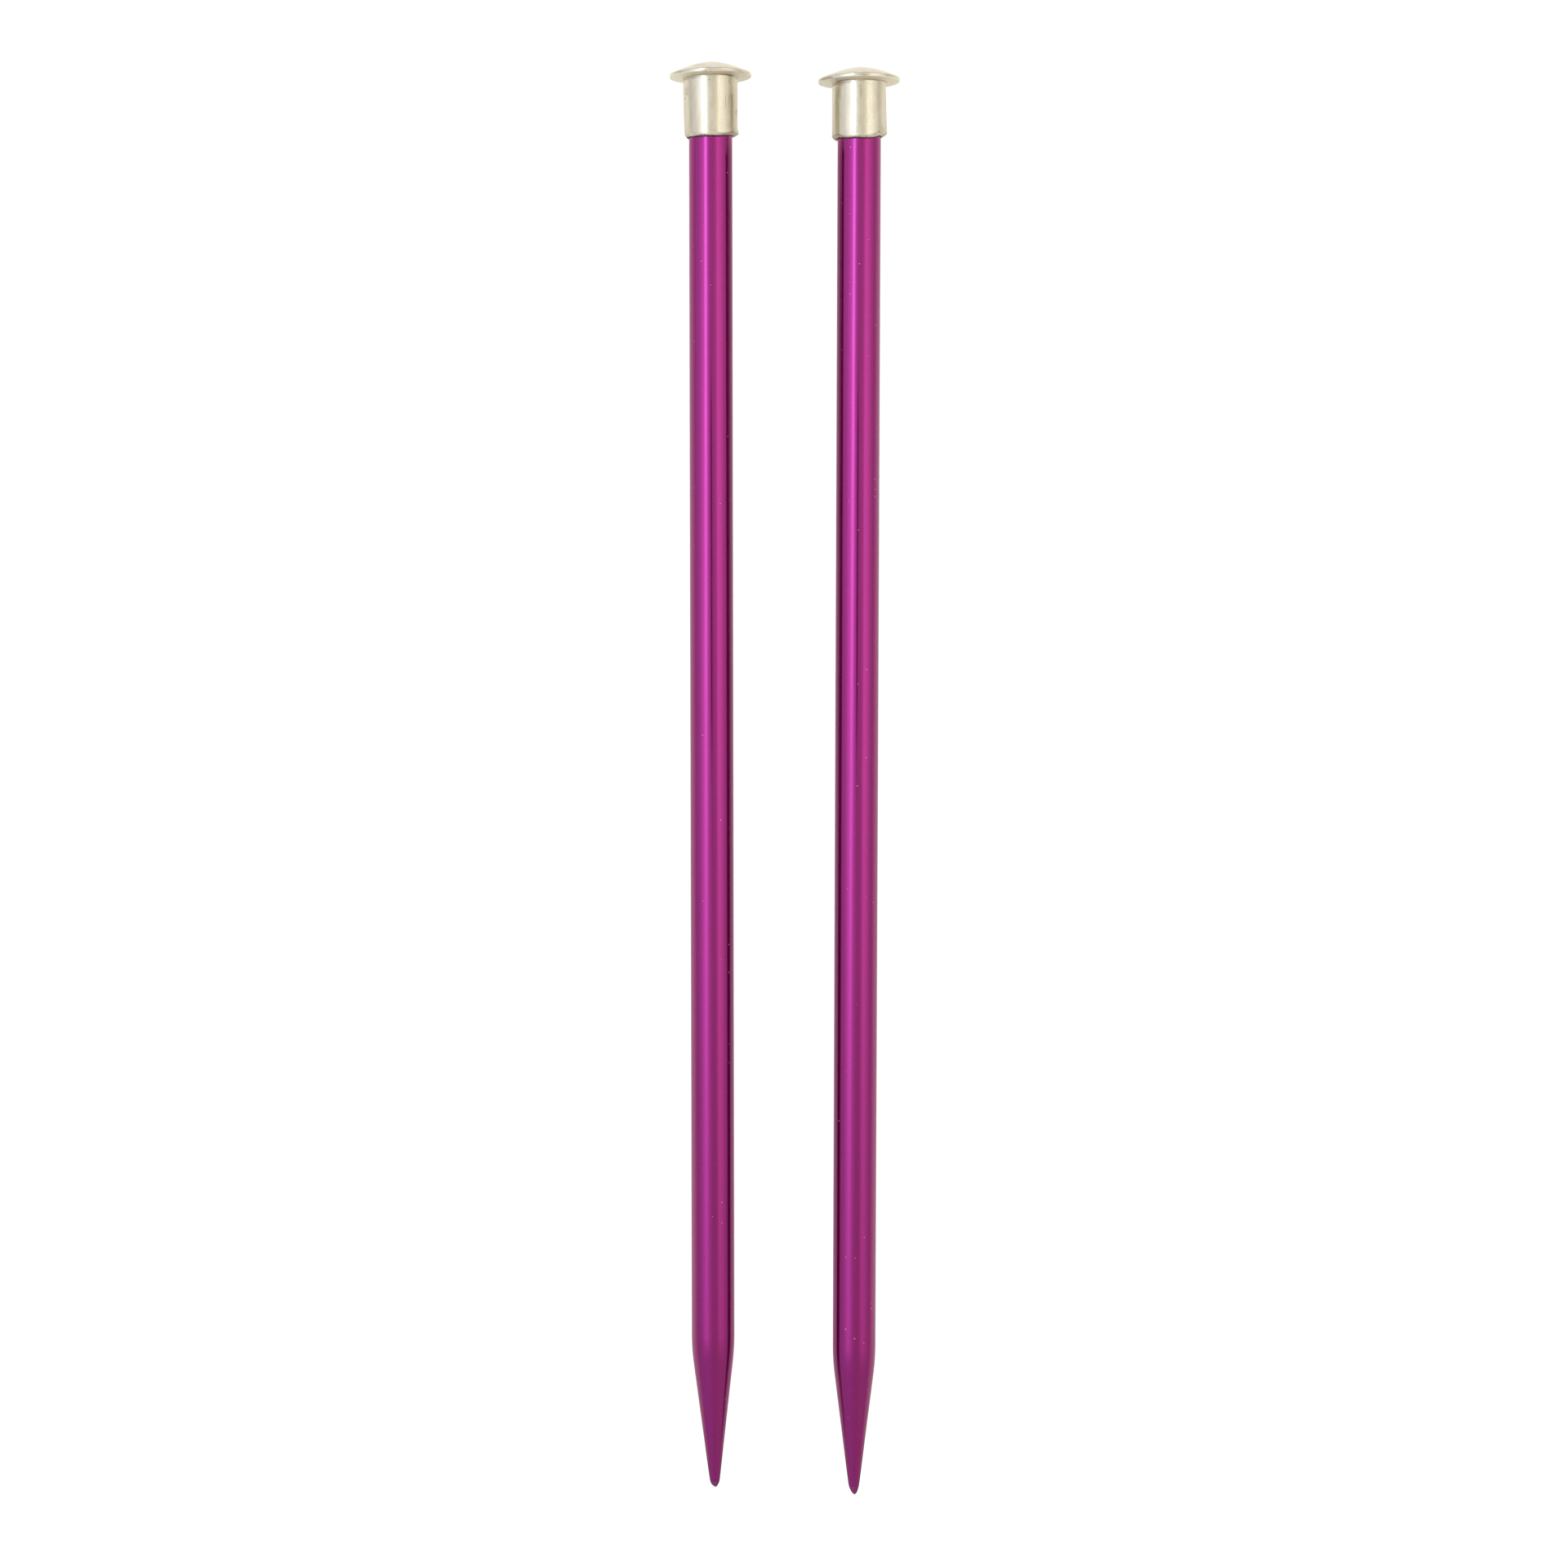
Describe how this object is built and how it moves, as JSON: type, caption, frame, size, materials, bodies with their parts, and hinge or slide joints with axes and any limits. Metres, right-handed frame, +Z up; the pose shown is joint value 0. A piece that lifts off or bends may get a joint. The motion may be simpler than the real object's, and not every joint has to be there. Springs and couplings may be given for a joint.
{
  "type": "straight knitting needles",
  "caption": "Straight single-pointed knitting needles: round metal shafts with a long tapered point and a domed, flanged cap, laid side by side.",
  "frame": {"origin": "on the table, at the middle of the box round both needles as they lie", "axes": "+Y along the needles towards their caps, +Z up from the table, +X from the left needle to the right one"},
  "size_m": [0.048, 0.2994, 0.017],
  "materials": {
    "anodised_shaft": "gloss",
    "plated_cap": "polished"
  },
  "bodies": {
    "left_needle": {"left_shaft": "anodised_shaft", "left_cap": "plated_cap"},
    "right_needle": {"right_shaft": "anodised_shaft", "right_cap": "plated_cap"}
  },
  "joints": [
    {"name": "right_needle_lift", "type": "slide", "parent": "left_needle", "child": "right_needle", "axis": [0, 0, 1], "range_m": [0, 0.12]}
  ]
}
